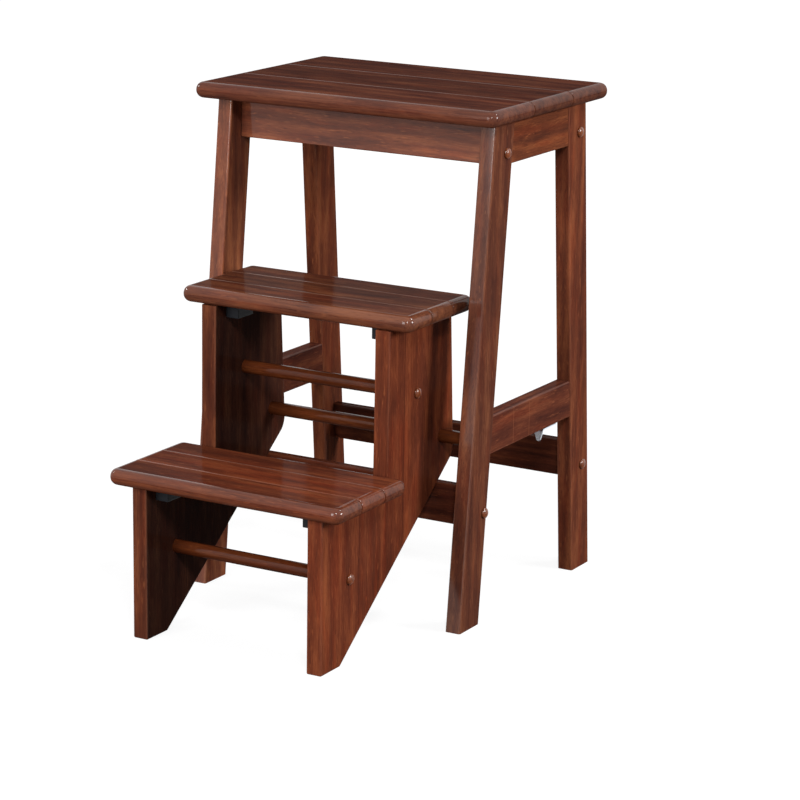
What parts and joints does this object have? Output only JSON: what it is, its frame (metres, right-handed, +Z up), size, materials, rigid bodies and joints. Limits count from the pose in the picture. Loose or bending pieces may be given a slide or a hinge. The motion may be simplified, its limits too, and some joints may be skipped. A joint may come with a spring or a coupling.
{
  "type": "folding step stool",
  "caption": "Wooden stool with a boarded seat on splayed legs and a hinged two-step unit that stands in front and swings up and back to stow under the seat.",
  "frame": {"origin": "on the floor, under the middle of the stool's bounding box with the steps standing on the floor", "axes": "+Z up, -Y towards the front of the steps, +X to the right for someone who stands in front of the steps and faces them"},
  "size_m": [0.4064, 0.5586, 0.6096],
  "materials": {
    "stained_wood": "dark reddish brown stain under satin lacquer",
    "dowel_wood": "lighter orange-brown stain under satin lacquer",
    "dark_plastic": "moulded dark blue-grey plastic",
    "zinc_steel": "bright zinc plate",
    "brown_cap": "glossy brown"
  },
  "bodies": {
    "frame": {"front_leg_left": "stained_wood", "front_leg_right": "stained_wood", "rear_leg_left": "stained_wood", "rear_leg_right": "stained_wood", "front_apron": "stained_wood", "rear_apron": "stained_wood", "side_apron_left": "stained_wood", "side_apron_right": "stained_wood", "side_rail_left": "stained_wood", "side_rail_right": "stained_wood", "front_lower_rail": "stained_wood", "rear_lower_rail": "stained_wood", "seat_board_front": "stained_wood", "seat_board_middle": "stained_wood", "seat_board_rear": "stained_wood", "leg_bolt_upper_front_left": "brown_cap", "leg_bolt_upper_front_right": "brown_cap", "leg_bolt_lower_front_left": "brown_cap", "leg_bolt_lower_front_right": "brown_cap", "leg_bolt_upper_rear_left": "brown_cap", "leg_bolt_upper_rear_right": "brown_cap", "leg_bolt_lower_rear_left": "brown_cap", "leg_bolt_lower_rear_right": "brown_cap", "seat_screw_front_left": "zinc_steel", "seat_screw_front_right": "zinc_steel", "seat_screw_rear_left": "zinc_steel", "seat_screw_rear_right": "zinc_steel", "catch": "zinc_steel", "catch_screw": "zinc_steel"},
    "step_unit": {"step_panel_left": "stained_wood", "step_panel_right": "stained_wood", "upper_tread_board_front": "stained_wood", "upper_tread_board_middle": "stained_wood", "upper_tread_board_rear": "stained_wood", "lower_tread_board_front": "stained_wood", "lower_tread_board_middle": "stained_wood", "lower_tread_board_rear": "stained_wood", "lower_dowel": "dowel_wood", "upper_dowel": "dowel_wood", "pivot_dowel": "dowel_wood", "dowel_screw_lower_left": "brown_cap", "dowel_screw_lower_right": "brown_cap", "dowel_screw_upper_left": "brown_cap", "dowel_screw_upper_right": "brown_cap", "tread_block_lower_front_left": "dark_plastic", "tread_block_lower_front_right": "dark_plastic", "tread_block_lower_rear_left": "dark_plastic", "tread_block_lower_rear_right": "dark_plastic", "tread_block_upper_front_left": "dark_plastic", "tread_block_upper_front_right": "dark_plastic", "tread_block_upper_rear_left": "dark_plastic", "tread_block_upper_rear_right": "dark_plastic", "block_screw_lower_front_left": "zinc_steel", "block_screw_lower_front_right": "zinc_steel", "block_screw_lower_rear_left": "zinc_steel", "block_screw_lower_rear_right": "zinc_steel", "block_screw_upper_front_left": "zinc_steel", "block_screw_upper_front_right": "zinc_steel", "block_screw_upper_rear_left": "zinc_steel", "block_screw_upper_rear_right": "zinc_steel"}
  },
  "joints": [
    {"name": "step_unit_fold", "type": "hinge", "parent": "frame", "child": "step_unit", "pos_m": [0, -0.00214, 0.2195], "axis": [-1, 0, 0], "range_deg": [0, 128]}
  ]
}
